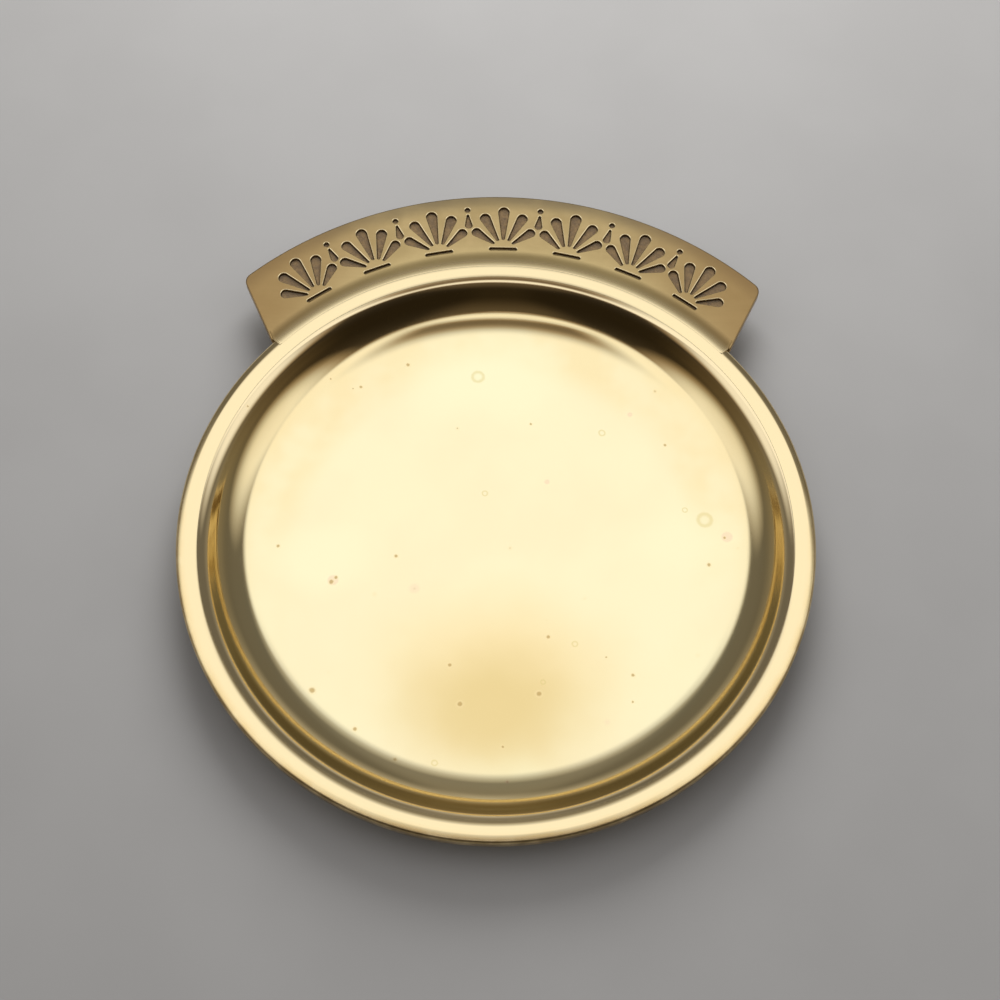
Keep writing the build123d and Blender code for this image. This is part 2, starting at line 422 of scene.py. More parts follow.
def plate_mesh():
    """The whole plate: rounded edges, a flat top cut round the frieze, and each recess with its worn lip."""
    verts, normals, faces, sunk, worn = [], [], [], [], []

    def loop(points, height, tilt, inward=False, depth_share=0.0, wear=0.0):
        """Adds a loop; tilt is the normal's angle from straight up, towards the outside of the outline."""
        first = len(verts)
        turn = 1 if signed_area(points) > 0 else -1
        for index, point in enumerate(points):
            out = outward(points, index) * turn * (-1 if inward else 1)
            lift = height[index] if isinstance(height, list) else height
            verts.append((point.x, point.y, lift))
            normals.append((out.x * sin(tilt), out.y * sin(tilt), cos(tilt)))
            sunk.append(depth_share)
            worn.append(wear)
        return list(range(first, len(verts)))

    def skirt(upper, lower, flip=False):
        """Faces between two loops of the same count."""
        count = len(upper)
        for index in range(count):
            after = (index + 1) % count
            face = (upper[index], lower[index], lower[after], upper[after])
            faces.append(face[::-1] if flip else face)

    # Levels of the outside, from the top down
    levels = []
    for step in range(round_steps + 1):
        tilt = pi / 2 * step / round_steps
        height = plate_top - plate_edge_round * (1 - cos(tilt))
        levels.append((plate_edge_round * (1 - sin(tilt)), height, tilt))
    levels.append((0, rim_underside + plate_under_round, pi / 2))
    for step in range(1, round_steps):
        tilt = pi / 2 + pi / 2 * step / (round_steps - 1)
        height = rim_underside + plate_under_round * (1 + cos(tilt))
        levels.append((plate_under_round * (1 - sin(tilt)), height, tilt))
    loops = []
    inner_count = outline_arc_steps + 1
    for index, (inset, height, tilt) in enumerate(levels):
        share = index / (len(levels) - 1)
        if share < prep_share:
            inner = plate_inner_radius + braze_prep_width * (1 - share / prep_share)
            inner_height = plate_top - braze_prep_depth * share / prep_share
        else:
            inner = plate_inner_radius
            drop = (share - prep_share) / (1 - prep_share)
            prep_height = plate_top - braze_prep_depth
            inner_height = prep_height - (prep_height - rim_underside) * drop
        points = plate_outline(inset, inner)
        heights = [inner_height] * inner_count + [height] * (len(points) - inner_count)
        loops.append(loop(points, heights, tilt))
    clockwise = signed_area(plate_outline(0, plate_inner_radius)) < 0
    for upper, lower in zip(loops, loops[1:]):
        skirt(upper, lower, flip=clockwise)

    # Recesses, from the flat top down their worn lips and walls to their floors
    recess_levels = []
    for step in range(round_steps + 1):
        tilt = (pi / 2 - recess_draft) * step / round_steps
        recess_levels.append((recess_lip * (sin(tilt) - lip_outside), recess_lip * (1 - cos(tilt)), tilt))
    wall_top_inset, wall_top_depth = recess_levels[-1][:2]
    wall_depth = recess_depth - recess_cove
    wall_inset = wall_top_inset + (wall_depth - wall_top_depth) * tan(recess_draft)
    recess_levels.append((wall_inset, wall_depth, pi / 2 - recess_draft))
    cove_inset, cove_rise = recess_cove_middle
    recess_levels += [
        (wall_inset + recess_cove * cove_inset, recess_depth - recess_cove * cove_rise, pi / 4),
        (wall_inset + recess_cove, recess_depth, 0),
    ]
    recess_loops = []
    for inset, depth, tilt in recess_levels:
        wear = max(0.0, 1 - depth / recess_lip) if depth > 0 else 0.0
        share = min(1.0, depth / (2 * recess_lip))
        height = plate_top - depth
        recess_loops.append([loop(outline, height, tilt, True, share, wear) for outline in marks(inset)])
    for uppers, lowers in zip(recess_loops, recess_loops[1:]):
        for upper, lower in zip(uppers, lowers):
            skirt(upper, lower, flip=True)
    faces += [tuple(bottom) for bottom in recess_loops[-1]]

    # Flat top, cut round the recesses
    boundary = [loops[0]] + recess_loops[0]
    flat, edges, owners = [], [], []
    for ring_loop in boundary:
        first = len(flat)
        flat += [Vector(verts[index][:2]) for index in ring_loop]
        owners += ring_loop
        edges += [(first + step, first + (step + 1) % len(ring_loop)) for step in range(len(ring_loop))]
    triangles, sources = delaunay_2d_cdt(flat, edges, [], 2, weld_distance)[2:4]
    holes = [[Vector(verts[index][:2]) for index in ring_loop] for ring_loop in recess_loops[0]]
    for triangle in triangles:
        corners = [owners[sources[index][0]] for index in triangle]
        middle = sum((Vector(verts[index][:2]) for index in corners), Vector((0, 0))) / 3
        if not any(inside_convex(middle, hole) for hole in holes):
            faces.append(tuple(corners))

    # Underside
    flat = [Vector(verts[index][:2]) for index in loops[-1]]
    edges = [(step, (step + 1) % len(flat)) for step in range(len(flat))]
    triangles, sources = delaunay_2d_cdt(flat, edges, [], 1, weld_distance)[2:4]
    for triangle in triangles:
        faces.append(tuple(loops[-1][sources[index][0]] for index in reversed(triangle)))

    made = mesh_piece("banner_plate_sunk", verts, faces, normals)
    for key, values in (("sunk", sunk), ("worn", worn)):
        made.data.attributes.new(key, "FLOAT", "POINT").data.foreach_set("value", values)
    return made


def inside_convex(place, outline):
    """Whether a place in plan lies inside a convex outline that runs anticlockwise."""
    sides = zip(outline, outline[1:] + outline[:1])
    return all((end - start).cross(place - start) >= 0 for start, end in sides)


plate = plate_mesh()

# Frieze filling: a dished layer on each floor, which climbs a little at the walls
filling_levels = [(0.0, 0.95), (0.08, 0.7), (0.2, 0.5), (0.34, 0.42)]


def filling_mesh():
    """The dark filling of all the recesses, one closed body in each."""
    verts, faces = [], []
    floor_height = plate_top - recess_depth
    foot = fill_clearance + recess_cove
    layers = [(foot, 0.0)] + [(foot + inset, fill_thickness * rise) for inset, rise in filling_levels]
    rings = []
    for inset, rise in layers:
        ring_set = []
        for outline in marks(inset):
            first = len(verts)
            verts.extend((point.x, point.y, floor_height + rise) for point in outline)
            ring_set.append(range(first, len(verts)))
        rings.append(ring_set)
    for lowers, uppers in zip(rings, rings[1:]):
        for lower, upper in zip(lowers, uppers):
            count = len(lower)
            for step in range(count):
                after = (step + 1) % count
                faces.append((lower[step], lower[after], upper[after], upper[step]))
    faces += [tuple(top) for top in rings[-1]]
    faces += [tuple(reversed(bottom)) for bottom in rings[0]]
    return mesh_piece("frieze_patina", verts, faces)


filling = filling_mesh()

# Braze: the dressed joint that carries the rim's crown down on to the plate
braze_start_tilt = 2.2
braze_reach = 2.3
braze_lift = 0.012
braze_end_inset = 0.35
braze_feather = (0.3, 0.006)
braze_end_depth = (0.32, 0.25)
braze_root_inset = 0.3
braze_root_share = 0.8
braze_back_inset = 0.8
braze_back_rise = 0.55
braze_start_depth = 0.05
braze_steps = 160
braze_rows = 20


def braze_mesh():
    """A thin blended skin from the crown's outer slope to the plate's top, closed underneath."""
    tilt = radians(braze_start_tilt)
    spoke = Vector((sin(tilt), cos(tilt))) * crown_outer_radius
    start = Vector((crest_radius, crown_outer_centre_height)) + spoke
    end = Vector((plate_inner_radius + braze_reach, plate_top))
    span = end.x - start.x
    top = []
    for row in range(braze_rows + 1):
        share = row / braze_rows
        fall = 3 * share**2 - 2 * share**3
        lead = share * (1 - share) ** 2
        height = start.y + (end.y - start.y) * fall - tan(tilt) * span * lead
        top.append(Vector((start.x + span * share, height + braze_lift * sin(pi * share))))
    tail = [Vector((end.x + out, end.y - down)) for out, down in (braze_feather, braze_end_depth)]
    root = Vector((plate_inner_radius + braze_root_inset, plate_top - braze_prep_depth * braze_root_share))
    back = Vector((rim_radius - braze_back_inset, shoulder_height + braze_back_rise))
    section = top + tail + [root, back, start - Vector((0, braze_start_depth))]
    verts, faces = [], []
    for step in range(braze_steps + 1):
        for radius, height in section:
            foot = side_crossing(max(radius, rim_radius), braze_end_inset)
            turn = atan2(foot.x, foot.y) * (2 * step / braze_steps - 1)
            verts.append((radius * sin(turn), radius * cos(turn), height))
    count = len(section)
    for step in range(braze_steps):
        for index in range(count):
            after = (index + 1) % count
            low, high = step * count, (step + 1) * count
            faces.append((low + index, low + after, high + after, high + index))
    faces.append(tuple(range(count))[::-1])
    faces.append(tuple(range(braze_steps * count, (braze_steps + 1) * count)))
    return mesh_piece("braze_dressed", verts, faces)


braze = braze_mesh()

# Shader helpers, which build in this node tree: a material's in turn, and the world's at the end
tree = None
hairline_fade = 0.06
side_shift = 0.37
least_rise = 0.001
largest_cosine = 0.99999


def node(kind, inputs=(), **settings):
    """A new node with its settings, and with each listed input joined to a socket or given a value."""
    made = tree.nodes.new(kind)
    for key, value in settings.items():
        setattr(made, key, value)
    for key, value in dict(inputs).items():
        if isinstance(value, bpy.types.NodeSocket):
            tree.links.new(value, made.inputs[key])
        else:
            made.inputs[key].default_value = value
    return made


def maths(operation, *values):
    """The result of one sum on sockets or numbers."""
    return node("ShaderNodeMath", list(enumerate(values)), operation=operation).outputs[0]


def vectors(operation, *values, output=0):
    """The result of one sum on vectors."""
    return node("ShaderNodeVectorMath", list(enumerate(values)), operation=operation).outputs[output]


def mapped(place, scale, turn=0.0):
    """A place turned about Z and scaled, to draw noise out in one direction."""
    inputs = {"Vector": place, "Rotation": (0, 0, turn), "Scale": scale}
    return node("ShaderNodeMapping", inputs).outputs[0]


def smooth(value, low, high, out_low=0.0, out_high=1.0):
    """A value's smooth step between two levels."""
    inputs = {"Value": value, "From Min": low, "From Max": high, "To Min": out_low, "To Max": out_high}
    return node("ShaderNodeMapRange", inputs, interpolation_type="SMOOTHSTEP").outputs[0]


def zone(value, low, high, out_low=0.0, out_high=1.0):
    """A distance's smooth step between two levels in millimetres."""
    return smooth(value, low * MM, high * MM, out_low, out_high)


def mix(share, first, second):
    """Two colours mixed by a share."""
    inputs = {0: share, 6: first, 7: second}
    return node("ShaderNodeMix", inputs, data_type="RGBA").outputs[2]


def cloud_colour(place, size, detail):
    """Cloudy noise in three unrelated parts, for moving places about."""
    inputs = {"Vector": place, "Scale": 1 / (size * MM), "Detail": detail}
    return node("ShaderNodeTexNoise", inputs).outputs["Color"]


def noise(place, size, detail=2.0, rough=0.5):
    """Cloudy noise whose features are about a size in millimetres."""
    inputs = {"Vector": place, "Scale": 1 / (size * MM), "Detail": detail, "Roughness": rough}
    return node("ShaderNodeTexNoise", inputs).outputs[0]


def colour(red, green, blue):
    """An opaque colour."""
    return (red, green, blue, 1.0)


def material(name, roughness, metallic=1.0):
    """A new material, its shader and the place on the object in metres; the helpers build in it next."""
    global tree
    made = bpy.data.materials.new(name)
    made.use_nodes = True
    tree = made.node_tree
    shader = tree.nodes["Principled BSDF"]
    shader.inputs["Metallic"].default_value = metallic
    shader.inputs["Roughness"].default_value = roughness
    place = node("ShaderNodeTexCoord").outputs["Object"]
    return made, shader, place


def join(shader, socket, value):
    """Links a value to one of the shader's sockets."""
    tree.links.new(value, shader.inputs[socket])


def polar(place):
    """Radius, height and both plan coordinates of a place, in metres."""
    across, along, height = node("ShaderNodeSeparateXYZ", {"Vector": place}).outputs
    squares = total(maths("POWER", across, 2), maths("POWER", along, 2))
    return maths("SQRT", squares), height, across, along


def ring_lines(place, size, spread, detail=2.0):
    """Noise drawn out round the tray's axis, as turning and polishing leave it."""
    radius, height, across, along = polar(place)
    drift = product(total(across, product(along, 0.7)), 1 / spread)
    lines = node("ShaderNodeCombineXYZ", {0: radius, 1: height, 2: drift}).outputs[0]
    return noise(lines, size, detail)


def scratches(place, angle, width, length, level):
    """Fine straight hairlines in one direction, as a share that is 1 on a hairline."""
    turned = mapped(place, (1, width / length, 1), radians(angle))
    return smooth(noise(turned, width, 3.0, 0.6), level, level + hairline_fade)


def spots(place, cell, low, high, seed):
    """Scattered round spots as (core, halo) shares; a cell, in millimetres, holds one at most."""
    moved = vectors("ADD", place, (seed, seed * side_shift, 0))
    flat = vectors("MULTIPLY", moved, (1, 1, 0.02))
    cells = node("ShaderNodeTexVoronoi", {"Vector": flat, "Scale": 1 / (cell * MM), "Randomness": 1.0})
    lot = node("ShaderNodeSeparateColor", {"Color": cells.outputs["Color"]}).outputs
    radius = smooth(lot[0], 0.25, 1.0, low / cell, high / cell)
    share = maths("DIVIDE", cells.outputs["Distance"], radius)
    chosen = maths("GREATER_THAN", lot[1], 0.45)
    core = product(smooth(share, 0.35, 0.8, 1.0, 0.0), chosen)
    halo = product(smooth(share, 0.8, 2.2, 1.0, 0.0), chosen)
    return core, halo


def bump(shader, height, strength=1.0):
    """Relief from a height in metres."""
    made = node("ShaderNodeBump", {"Height": height, "Distance": 1.0, "Strength": strength})
    join(shader, "Normal", made.outputs["Normal"])


def product(*values):
    """The product of several sockets and numbers."""
    return reduce(lambda first, second: maths("MULTIPLY", first, second), values)


def scaled(value, amount):
    """A share turned into a height of so many microns."""
    return product(value, amount * MICRON)


def total(*values):
    """The sum of several sockets and numbers."""
    return reduce(lambda first, second: maths("ADD", first, second), values)


# Stains on the pan's floor, each by its place and radius: brown specks, drying rings and pink blushes
stain_specks = [
    (11.0, -20.0, 0.34), (-8.7, -26.5, 0.34), (9.3, -32.2, 0.46), (-6.4, -34.7, 0.44), (28.1, -27.8, 0.3),
    (28.0, -33.5, 0.2), (22.7, -24.1, 0.16), (-36.0, -32.5, 0.52), (-27.0, -40.4, 0.36),
    (-18.8, -46.6, 0.42), (2.3, -43.4, 0.24), (6.8, 28.7, 0.22), (-45.1, -1.1, 0.28), (44.0, -3.3, 0.32),
    (35.4, 24.3, 0.26), (33.5, 37.2, 0.34), (-20.6, -2.8, 0.3), (-20.1, 42.6, 0.34), (-30.0, 36.9, 0.3),
    (47.4, 2.9, 0.24), (-33.6, -8.9, 0.4), (-32.7, -7.9, 0.3),
]
stain_rings = [
    (43.4, 6.9, 1.5), (-4.8, 40.0, 1.3), (39.3, 9.1, 0.55), (22.0, 26.9, 0.7), (16.4, -21.4, 0.6),
    (10.1, -29.7, 0.5), (-11.0, -47.0, 0.6), (-2.6, 12.0, 0.6),
]
stain_blushes = [(47.9, 3.1, 1.25), (-33.3, -8.5, 1.2), (10.4, 15.0, 0.6), (28.0, 31.5, 0.6)]
stain_jitter = (0.7, 0.12)

# Scattered spots: cell, least and greatest radius in millimetres, and a shift that tells the sets apart
fine_spots = (5.5, 0.14, 0.4, 0.013)
wide_spots = (14.0, 0.3, 0.75, 0.057)
rim_spots = (7.0, 0.15, 0.4, 0.031)

# A painted reflection of a dim shape above, darker and warmer near the front of the floor, and clean places:
# place, whole and faded radii, share
dim_reflection_halo = (1.0, -27.0, 6.0, 36.0, 1.0)
dim_reflection_core = (0.5, -35.5, 5.0, 28.0, 0.85)
clean_places = [
    (-3.0, 39.0, 5.2, 23.4, 1.0),
    (-36.0, -3.0, 3.6, 16.2, 0.8),
    (38.0, 2.0, 3.6, 16.2, 0.6),
]
patch_squash = 1.5
patch_jitter = (14, 4)

# Zones of the finishes, in millimetres from the axis, above the table or along a direction
floor_edge_zone = (floor_radius - 9, floor_radius - 1)
floor_edge_along = (-15, 20)
climb_zone = (pan_floor + 0.05, pan_floor + 1.6)
wall_zone = (pan_floor + 1.5, pan_floor + 5.0)
rolled_zone = (crown_top - 2.4, crown_top - 0.9)
rim_tint_zone = (rim_radius - 2.4, rim_radius - 0.1)
rim_shade_and_tarnish_zone = (rim_radius - 0.9, rim_radius - 0.2)
rim_worn_zone = (rim_radius - 1.5, rim_radius - 0.4)
rim_satin_zone = (rim_radius - 2.4, rim_radius - 0.6)
rim_satin_along = (43, 48)
rim_front_along = (-60, 55)
plate_ends_across = (18, 54)
plate_outer_zone = (plate_arc_radius - 4.6, plate_arc_radius - 0.4)
plate_inner_zone = (rim_radius + 0.5, rim_radius + 6.0)
braze_dull_zone = (rim_radius - 1.7, rim_radius + 1.0)
braze_satin_zone = (rim_radius - 1.9, rim_radius + 0.6)

# Hairlines: direction in degrees, width and length in millimetres, and the level above which they show
pan_hairlines = [(24, 0.22, 16, 0.66), (-58, 0.2, 22, 0.68), (80, 0.25, 12, 0.68)]
plate_hairlines = [(12, 0.2, 14, 0.66), (-35, 0.2, 9, 0.68)]

# Colours that several finishes share
polished = colour(0.95, 0.79, 0.47)
deep_brown = colour(0.42, 0.25, 0.08)


def ragged(place, size, reach):
    """A place moved a little by noise, so that round shapes come out ragged."""
    moved = vectors("MULTIPLY_ADD", cloud_colour(place, size, 2.0), (2 * reach * MM,) * 3, place)
    return vectors("ADD", moved, (-reach * MM,) * 3)


def nearest(place, stains):
    """The distance to the nearest of some stains, as a share of its radius."""
    least = 100.0
    for x, y, size in stains:
        centre = (x * MM, y * MM, pan_floor * MM)
        away = vectors("DISTANCE", place, centre, output="Value")
        least = maths("MINIMUM", least, maths("DIVIDE", away, size * MM))
    return least


def soft_patch(place, x, y, inner, outer, share):
    """A soft patch on the floor, wider than it is deep."""
    flat = vectors("ADD", place, (-x * MM, -y * MM, -pan_floor * MM))
    away = vectors("LENGTH", vectors("MULTIPLY", flat, (1, patch_squash, 1)), output="Value")
    return zone(away, inner, outer, share, 0.0)


def hairlines(place, lines):
    """The sum of several sets of hairlines."""
    return total(*(scratches(place, *line) for line in lines))


def brass_pan():
    """Polished brass of the pan: turned lines, hairlines, tarnish spots, water rings, and a painted dim
    reflection on the floor.
    """
    made, shader, place = material("pan_brass", 0.07)
    clean = colour(0.95, 0.87, 0.56)
    bright = colour(0.955, 0.9, 0.585)
    pinkish = colour(0.95, 0.845, 0.54)
    warm = colour(0.93, 0.76, 0.42)
    golden = colour(0.79, 0.615, 0.28)
    wall = colour(0.62, 0.47, 0.21)
    rolled = colour(0.95, 0.79, 0.49)
    blush = colour(0.9, 0.62, 0.45)
    dried = colour(0.7, 0.56, 0.2)
    speck_brown = colour(0.5, 0.34, 0.12)
    radius, height, _, along = polar(place)
    clouds = noise(place, 26, 3)
    base = mix(smooth(clouds, 0.38, 0.62), pinkish, clean)

    # Warm edge of the floor, clean places, and the painted dim reflection near the front
    loose = ragged(place, *patch_jitter)
    floor_edge = zone(radius, *floor_edge_zone, 0.0, 0.75)
    edge_clouds = smooth(noise(place, 12, 2), 0.35, 0.6, 0.35, 1.0)
    far_edge = zone(along, *floor_edge_along, 0.15, 1.0)
    base = mix(product(floor_edge, far_edge, edge_clouds), base, warm)
    for patch in clean_places:
        base = mix(soft_patch(loose, *patch), base, bright)
    # Painted reflection: a warm halo and a golden core near the front of the floor, where a dim shape above
    # is mirrored
    base = mix(soft_patch(loose, *dim_reflection_halo), base, warm)
    base = mix(soft_patch(loose, *dim_reflection_core), base, golden)

    # Wall and lip
    climb = zone(height, *climb_zone)
    base = mix(zone(height, *climb_zone, 0.0, 0.7), base, warm)
    base = mix(zone(height, *wall_zone), base, wall)
    base = mix(zone(height, *rolled_zone), base, rolled)

    # Spots and stains
    fine_core, fine_halo = spots(place, *fine_spots)
    wide_core, wide_halo = spots(place, *wide_spots)
    base = mix(product(fine_halo, 0.25), base, warm)
    base = mix(product(fine_core, 0.62), base, deep_brown)
    base = mix(product(wide_halo, 0.28), base, blush)
    base = mix(product(wide_core, 0.45), base, deep_brown)
    uneven = ragged(place, *stain_jitter)
    rings = nearest(uneven, stain_rings)
    ring_inside = smooth(rings, 0.4, 0.9)
    ring_outside = smooth(rings, 0.95, 1.35, 0.4, 0.0)
    base = mix(product(ring_inside, ring_outside), base, dried)
    base = mix(smooth(nearest(uneven, stain_blushes), 0.7, 1.1, 0.45, 0.0), base, blush)
    specks = nearest(uneven, stain_specks)
    base = mix(smooth(specks, 1.0, 2.4, 0.4, 0.0), base, warm)
    base = mix(smooth(specks, 0.6, 1.5, 0.75, 0.0), base, speck_brown)
    join(shader, "Base Color", base)

    # Gloss and relief
    hair = hairlines(place, pan_hairlines)
    smear = smooth(noise(place, 18, 4), 0.35, 0.7)
    rough = total(product(smear, 0.04), product(hair, 0.05), product(wide_halo, 0.03), 0.06)
    join(shader, "Roughness", rough)
    turned = total(scaled(ring_lines(place, 0.5, 40), 2.2), scaled(ring_lines(place, 1.6, 60), 7.0))
    waviness = scaled(noise(place, 16, 1), 8)
    blotches = scaled(noise(place, 3.2, 2), 1.4)
    bump(shader, total(waviness, blotches, product(turned, climb), scaled(hair, -0.6)))
    return made


def brass_rim():
    """Mirror-polished brass of the rim: warmer and worn at its outer edge, with painted shade there towards
    the front, and satin by the plate.
    """
    made, shader, place = material("rim_brass", 0.06)
    warm_edge = colour(0.86, 0.64, 0.3)
    shade_and_tarnish_brown = colour(0.42, 0.31, 0.16)
    reddish = colour(0.84, 0.56, 0.26)
    radius, _, _, along = polar(place)
    mottle = smooth(noise(place, 5, 4), 0.35, 0.65, 0.35, 1.0)
    # The outer edge is warmer and browner towards the front: mottled tarnish, and painted shade where the
    # front of the edge mirrors the shaded table
    front = zone(along, *rim_front_along, 1.0, 0.25)
    base = mix(product(zone(radius, *rim_tint_zone), mottle, front), polished, warm_edge)
    base = mix(product(zone(radius, *rim_shade_and_tarnish_zone), front, mottle), base, shade_and_tarnish_brown)
    core, halo = spots(place, *rim_spots)
    base = mix(product(halo, 0.12), base, reddish)
    base = mix(product(core, 0.3), base, deep_brown)
    join(shader, "Base Color", base)
    smear = smooth(noise(place, 12, 4), 0.35, 0.7)
    satin = product(zone(radius, *rim_satin_zone), zone(along, *rim_satin_along))
    worn_edge = product(zone(radius, *rim_worn_zone), front)
    rough = total(product(smear, 0.05), product(satin, 0.22), product(worn_edge, 0.26), 0.05)
    join(shader, "Roughness", rough)
    bump(shader, total(scaled(noise(place, 11, 1), 4), scaled(ring_lines(place, 0.35, 30), 0.8)))
    return made


def brushing(place):
    """Brushing along X, as drawn-out noise in two sizes: the coarser share, and the height of both."""
    fine = noise(mapped(place, (0.02, 1, 1)), 0.12, 2)
    coarse = noise(mapped(place, (0.05, 1, 1)), 0.5, 3)
    return coarse, total(scaled(fine, 0.9), scaled(coarse, 2.0))


def brush_gloss(shader):
    """Gloss drawn out across the brushing."""
    shader.inputs["Anisotropic"].default_value = 0.5
    join(shader, "Tangent", node("ShaderNodeCombineXYZ", {0: 1.0, 1: 0.0, 2: 0.0}).outputs[0])


def plate_colour(place):
    """Satin brass that is paler by the rim, browns along the outer edge, and darkens towards the ends with
    painted shade.
    """
    pale = colour(0.67, 0.505, 0.242)
    deep = colour(0.57, 0.425, 0.197)
    paler_by_rim = colour(0.76, 0.6, 0.29)
    outer_brown = colour(0.33, 0.255, 0.14)
    painted_end_shade = colour(0.36, 0.22, 0.085)
    radius, _, across, _ = polar(place)
    ends = zone(maths("ABSOLUTE", across), *plate_ends_across)
    arc_centre = (0, arc_centre_y * MM, plate_top * MM)
    arc_distance = vectors("DISTANCE", place, arc_centre, output="Value")
    outer_band = zone(arc_distance, *plate_outer_zone)
    inner_band = zone(radius, *plate_inner_zone, 0.6, 0.0)
    mottle = smooth(noise(place, 7, 4, 0.55), 0.3, 0.7)
    base = mix(mottle, pale, deep)
    # Paler towards the rim
    base = mix(inner_band, base, paler_by_rim)
    browned = product(outer_band, smooth(noise(place, 9, 3), 0.3, 0.62, 0.7, 1.0))
    base = mix(browned, base, outer_brown)
    # Painted shade: darker towards both ends
    return mix(product(ends, 0.7), base, painted_end_shade)


def brass_satin():
    """Satin-brushed brass of the plate, dark in the recesses and bright on their worn lips."""
    made, shader, place = material("satin_brass", 0.34)
    bright_lip = colour(0.95, 0.8, 0.5)
    dirt = colour(0.16, 0.11, 0.06)
    sunk = node("ShaderNodeAttribute", attribute_name="sunk").outputs["Fac"]
    worn = node("ShaderNodeAttribute", attribute_name="worn").outputs["Fac"]
    coarse, relief = brushing(place)
    shine = smooth(worn, 0.1, 0.6)
    grime = smooth(sunk, 0.25, 0.75)
    base = mix(shine, plate_colour(place), bright_lip)
    join(shader, "Base Color", mix(grime, base, dirt))
    rough = total(product(coarse, 0.1), product(grime, 0.2), product(shine, -0.2), 0.3)
    join(shader, "Roughness", rough)
    brush_gloss(shader)
    bump(shader, total(relief, scaled(hairlines(place, plate_hairlines), -2.5)), 0.8)
    return made


def brass_braze():
    """The dressed joint: satin where it meets the plate, polished where it meets the rim."""
    made, shader, place = material("braze", 0.15)
    radius = polar(place)[0]
    dulled = zone(radius, *braze_dull_zone)
    join(shader, "Base Color", mix(dulled, polished, plate_colour(place)))
    coarse, relief = brushing(place)
    satin = zone(radius, *braze_satin_zone)
    join(shader, "Roughness", total(product(satin, 0.22), product(coarse, 0.1), 0.08))
    brush_gloss(shader)
    bump(shader, product(relief, satin), 0.8)
    return made


def dark_filling():
    """Old brown wax and polish, with paler, duller streaks and dust."""
    made, shader, place = material("dark_filling", 0.6, 0.0)
    streak = smooth(noise(place, 1.1, 4, 0.6), 0.3, 0.7)
    dust = smooth(noise(place, 0.35, 2), 0.45, 0.75)
    base = mix(streak, colour(0.1, 0.063, 0.029), colour(0.19, 0.124, 0.058))
    base = mix(product(dust, 0.35), base, colour(0.28, 0.2, 0.11))
    join(shader, "Base Color", base)
    join(shader, "Roughness", smooth(streak, 0, 1, 0.45, 0.7))
    bump(shader, total(scaled(streak, 25), scaled(dust, 12)))
    return made


def soft_solder():
    """Dull grey solder with a crystalline skin and traces of flux."""
    made, shader, place = material("solder", 0.38)
    grain = smooth(noise(place, 0.8, 3), 0.35, 0.65)
    base = mix(grain, colour(0.5, 0.48, 0.44), colour(0.62, 0.6, 0.56))
    flux = smooth(noise(place, 6, 3), 0.55, 0.7)
    base = mix(product(flux, 0.5), base, colour(0.32, 0.24, 0.13))
    join(shader, "Base Color", base)
    join(shader, "Roughness", smooth(grain, 0, 1, 0.3, 0.48))
    bump(shader, total(scaled(grain, 14), scaled(flux, 30)))
    return made


def green_felt():
    """Dark green pressed wool felt with matted fibres and a little lint."""
    made, shader, place = material("felt", 0.95, 0.0)
    shader.inputs["Sheen Weight"].default_value = 0.35
    shader.inputs["Sheen Roughness"].default_value = 0.5
    matting = 1.2
    reach = (matting * MM,) * 3
    twisted = vectors("MULTIPLY_ADD", place, cloud_colour(place, matting, 1.0), reach)
    along, across = (noise(mapped(twisted, scale), 0.1, 2) for scale in ((0.15, 1, 1), (1, 0.15, 1)))
    fibres = maths("MAXIMUM", along, across)
    clumps = noise(place, 2.5, 4, 0.6)
    base = mix(smooth(fibres, 0.45, 0.75), colour(0.035, 0.065, 0.04), colour(0.1, 0.16, 0.105))
    base = mix(smooth(clumps, 0.4, 0.7, 0.0, 0.4), base, colour(0.06, 0.095, 0.06))
    lint = smooth(noise(twisted, 0.5, 2), 0.76, 0.8)
    base = mix(product(lint, 0.5), base, colour(0.5, 0.5, 0.46))
    join(shader, "Base Color", base)
    bump(shader, total(scaled(fibres, 60), scaled(clumps, 90)))
    return made


for piece, cad_node, slot, finish in (
    (pan, "pan", "pan_brass", brass_pan),
    (ring, "rim_ring", "rim_brass", brass_rim),
    (solder, "rim_solder", "solder", soft_solder),
    (plate, "banner_plate", "satin_brass", brass_satin),
    (braze, "plate_braze", "braze", brass_braze),
    (filling, "frieze_filling", "dark_filling", dark_filling),
    (pad, "felt_pad", "felt", green_felt),
):
    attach(piece, "root")
    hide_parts(cad_node)
    piece.data.materials.append(finish())

# Floor of the studio
half_table = 1.5
table_signs = [(-1, -1), (1, -1), (1, 1), (-1, 1)]
table_mesh = bpy.data.meshes.new("studio_table")
table_mesh.from_pydata([(half_table * x, half_table * y, 0) for x, y in table_signs], [], [(0, 1, 2, 3)])
table = bpy.data.objects.new("studio_table", table_mesh)
bpy.context.scene.collection.objects.link(table)
paper, shader, place = material("paper", 0.9, 0.0)
paper_clouds = smooth(noise(place, 40, 3), 0.3, 0.7)
join(shader, "Base Color", mix(paper_clouds, colour(0.325, 0.32, 0.315), colour(0.34, 0.335, 0.33)))
table_mesh.materials.append(paper)

# Soft round panels: bearing and lean of the middle, degrees at which they are whole and faded, and strength
overhead_panel = (-35, 3.2, 37.5, 46.5, 1.07)
skirt_panel = (0, 20, 14.0, 43.0, 0.7)
right_panel = (90, 51, 8.0, 33.0, 0.98)
left_panel = (-92, 51, 8.0, 34.0, 0.95)

# Light of the room: a soft panel overhead, one to each side, dim walls, and a darker side in front
world = bpy.data.worlds.new("studio")
bpy.context.scene.world = world
world.use_nodes = True
tree = world.node_tree
direction = node("ShaderNodeTexCoord").outputs["Generated"]
across, along, up = node("ShaderNodeSeparateXYZ", {"Vector": direction}).outputs


def lean(share):
    """Degrees by which the looked-at direction leans from straight up along one axis."""
    rise = maths("MAXIMUM", up, least_rise)
    return maths("DEGREES", maths("ARCTANGENT", maths("DIVIDE", share, rise)))


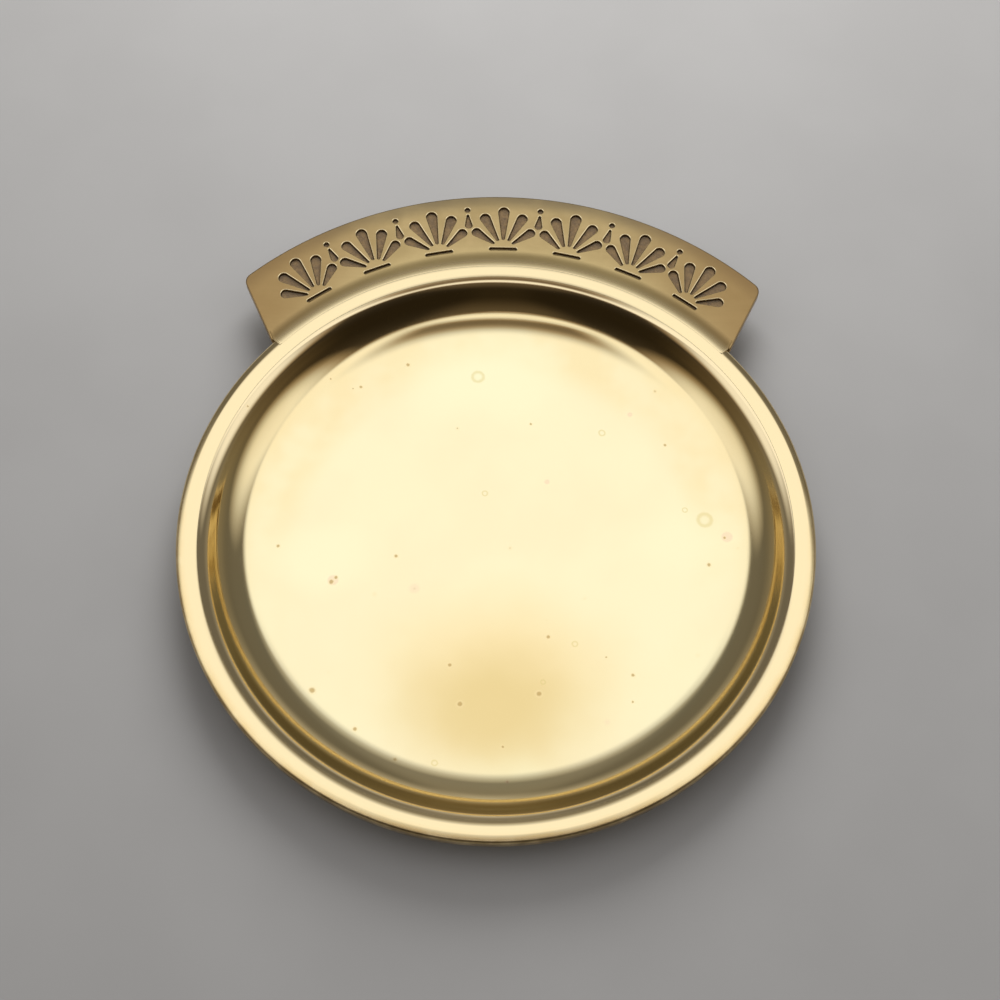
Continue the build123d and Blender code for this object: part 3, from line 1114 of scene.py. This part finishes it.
def panel(bearing, lean_angle, whole, faded, strength):
    """Strength of a soft round panel in the looked-at direction; its bearing is clockwise from +Y."""
    turn, tilt = radians(bearing), radians(lean_angle)
    middle = (sin(turn) * sin(tilt), cos(turn) * sin(tilt), cos(tilt))
    dot = vectors("DOT_PRODUCT", direction, middle, output="Value")
    away = maths("DEGREES", maths("ARCCOSINE", maths("MINIMUM", dot, largest_cosine)))
    return smooth(away, whole, faded, strength, 0.0)


# Panels, the overhead one fading on its far side
far_lean = lean(along)
side_lean = maths("ABSOLUTE", lean(across))
far_fade = product(smooth(far_lean, 31, 42), smooth(side_lean, 14, 32, 1.0, 0.0))
overhead = product(panel(*overhead_panel), maths("SUBTRACT", 1.0, product(far_fade, 0.4)))
skirt = product(panel(*skirt_panel), smooth(along, -0.15, 0.45))
flanks = maths("MAXIMUM", panel(*right_panel), panel(*left_panel))
bright = maths("MAXIMUM", maths("MAXIMUM", overhead, flanks), skirt)

# Walls, and the glow in front, behind and at the sides
sideways = maths("ABSOLUTE", across)
walls = smooth(along, -0.75, 0.35, 0.028, 0.15)
front_glow = smooth(far_lean, -72, -42, 0.01, 0.08)
front_glow = product(front_glow, smooth(side_lean, 10, 35, 1.0, 0.0))
back_glow = product(smooth(up, 0.0, 0.32, 0.3, 0.0), smooth(along, -0.4, 0.6, 0.15, 1.0))
back_glow = product(back_glow, smooth(sideways, 0.45, 0.85, 1.0, 0.3))
side_glow = product(smooth(up, 0.0, 0.5, 1.0, 0.0), smooth(sideways, 0.7, 0.95, 0.0, 0.1))
dim = total(walls, front_glow, back_glow, side_glow)

# A dark shape in front, which holds back most of the light there
shade_along = product(smooth(far_lean, -34, -24), smooth(far_lean, -21, 3, 1.0, 0.0))
shade_across = smooth(side_lean, 14, 28, 1.0, 0.0)
shade = product(shade_along, shade_across, -0.83)
light = product(maths("MAXIMUM", bright, dim), total(shade, 1.0))
wall_tint = mix(smooth(along, -0.5, 0.3), colour(1.0, 0.78, 0.55), colour(1.0, 0.93, 0.82))
tint = mix(smooth(light, 0.2, 0.8), wall_tint, colour(1.0, 0.995, 1.0))
background = tree.nodes["Background"]
tree.links.new(light, background.inputs["Strength"])
tree.links.new(tint, background.inputs["Color"])

# Fill for the table and other dull surfaces, unseen in polished metal
fill_size = 0.3
fill_energy = 1.6
fill_place = (0.015, 0.32, 0.25)
fill = bpy.data.lights.new("fill", "AREA")
fill.shape = "DISK"
fill.size = fill_size
fill.energy = fill_energy
fill_lamp = bpy.data.objects.new("fill", fill)
fill_lamp.location = fill_place
fill_lamp.rotation_euler = (-fill_lamp.location).to_track_quat("-Z", "Y").to_euler()
fill_lamp.visible_glossy = False
bpy.context.scene.collection.objects.link(fill_lamp)

# Camera, with its small roll, solved from the photograph's ellipses
camera_azimuth = 0.79
camera_elevation = 64.3
camera_roll = 0.49
camera_place = Vector((2.9, -156.7, 349.8)) * MM
camera_lens = 66.24
camera_near = 0.01
sensor_width = 36.0
lens = bpy.data.cameras.new("photo_camera")
lens.lens = camera_lens
lens.sensor_width = sensor_width
lens.clip_start = camera_near
camera = bpy.data.objects.new("photo_camera", lens)
turn, lift, twist = radians(camera_azimuth), radians(camera_elevation), radians(camera_roll)
back = Vector((sin(turn) * cos(lift), -cos(turn) * cos(lift), sin(lift)))
level = Vector((cos(turn), sin(turn), 0))
upright = back.cross(level)
right = level * cos(twist) + upright * sin(twist)
rolled_up = upright * cos(twist) - level * sin(twist)
axes = Matrix((right, rolled_up, back)).transposed().to_4x4()
camera.matrix_world = Matrix.Translation(camera_place) @ axes
bpy.context.scene.collection.objects.link(camera)
bpy.context.scene.camera = camera
bpy.context.scene.view_settings.view_transform = "Standard"
